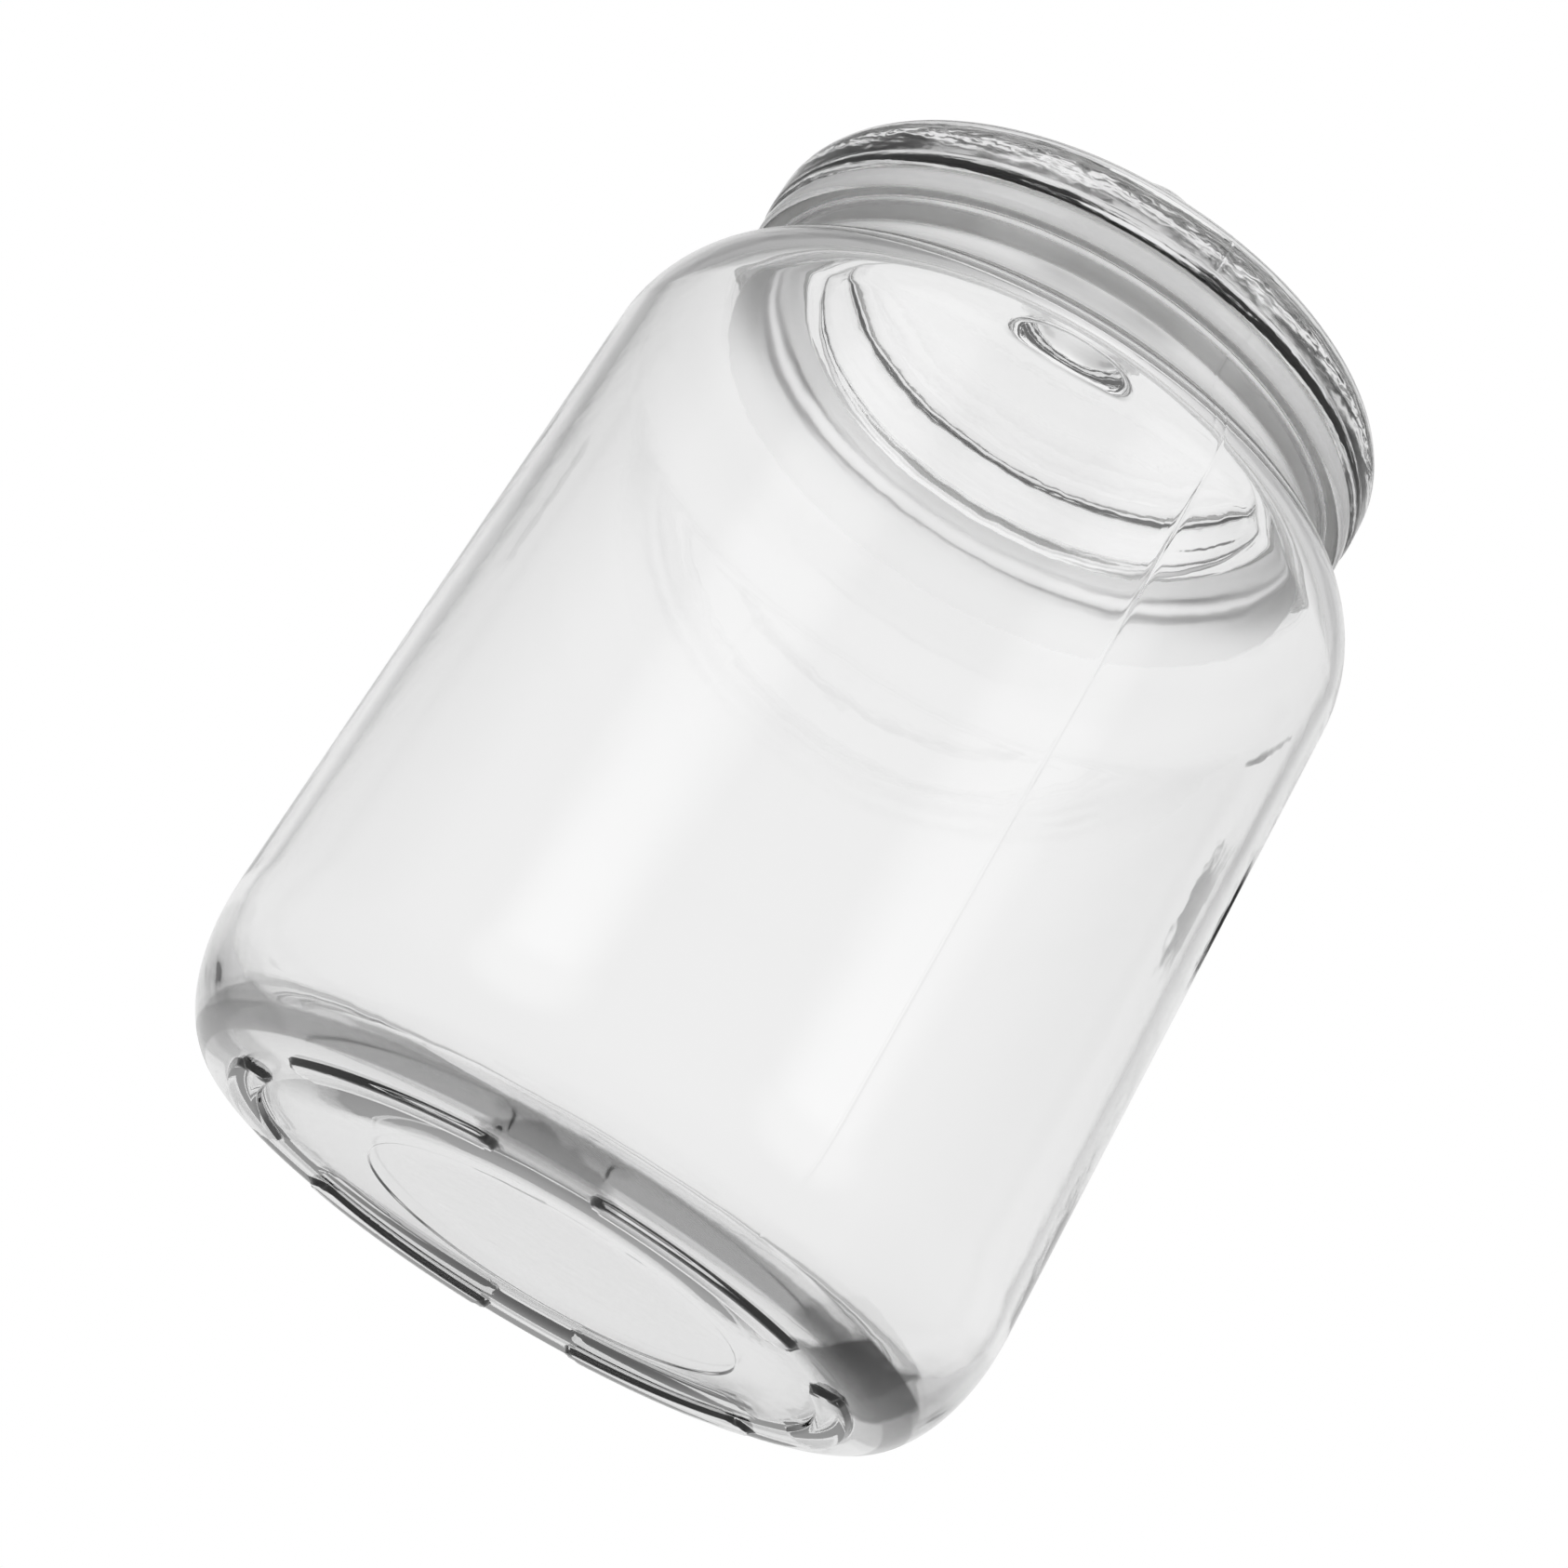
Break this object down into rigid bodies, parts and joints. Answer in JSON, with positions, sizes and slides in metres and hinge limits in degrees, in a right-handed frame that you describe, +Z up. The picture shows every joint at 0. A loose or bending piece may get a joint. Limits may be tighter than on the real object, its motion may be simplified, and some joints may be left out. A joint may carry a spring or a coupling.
{
  "type": "glass storage jar",
  "caption": "Round clear glass storage jar with soft heel, rounded shoulders, short neck and beaded lip, raised bars under the base, and a loose lift-off glass lid with a ball knob.",
  "frame": {"origin": "on the jar's axis, at the level of the surface that the bars under the base stand on", "axes": "+Z up along the jar's axis towards the knob; +X and +Y level, with the pictured side towards -Y"},
  "size_m": [0.11, 0.11, 0.1785],
  "materials": {
    "jar_glass": "clear blown soda-lime glass, glossy, with faint mould waves",
    "seal_clear": "clear silicone, satin",
    "lid_glass": "clear pressed soda-lime glass, glossy, with faint press waves"
  },
  "bodies": {
    "jar": {"jar_body": "jar_glass"},
    "seal": {"seal_ring": "seal_clear"},
    "lid": {"lid": "lid_glass"}
  },
  "joints": [
    {"name": "lid_lift", "type": "slide", "parent": "jar", "child": "seal", "axis": [0, 0, 1], "range_m": [0, 0.1]},
    {"name": "lid_turn", "type": "hinge", "parent": "seal", "child": "lid", "pos_m": [0, 0, 0.1404], "axis": [0, 0, 1], "continuous": true}
  ]
}
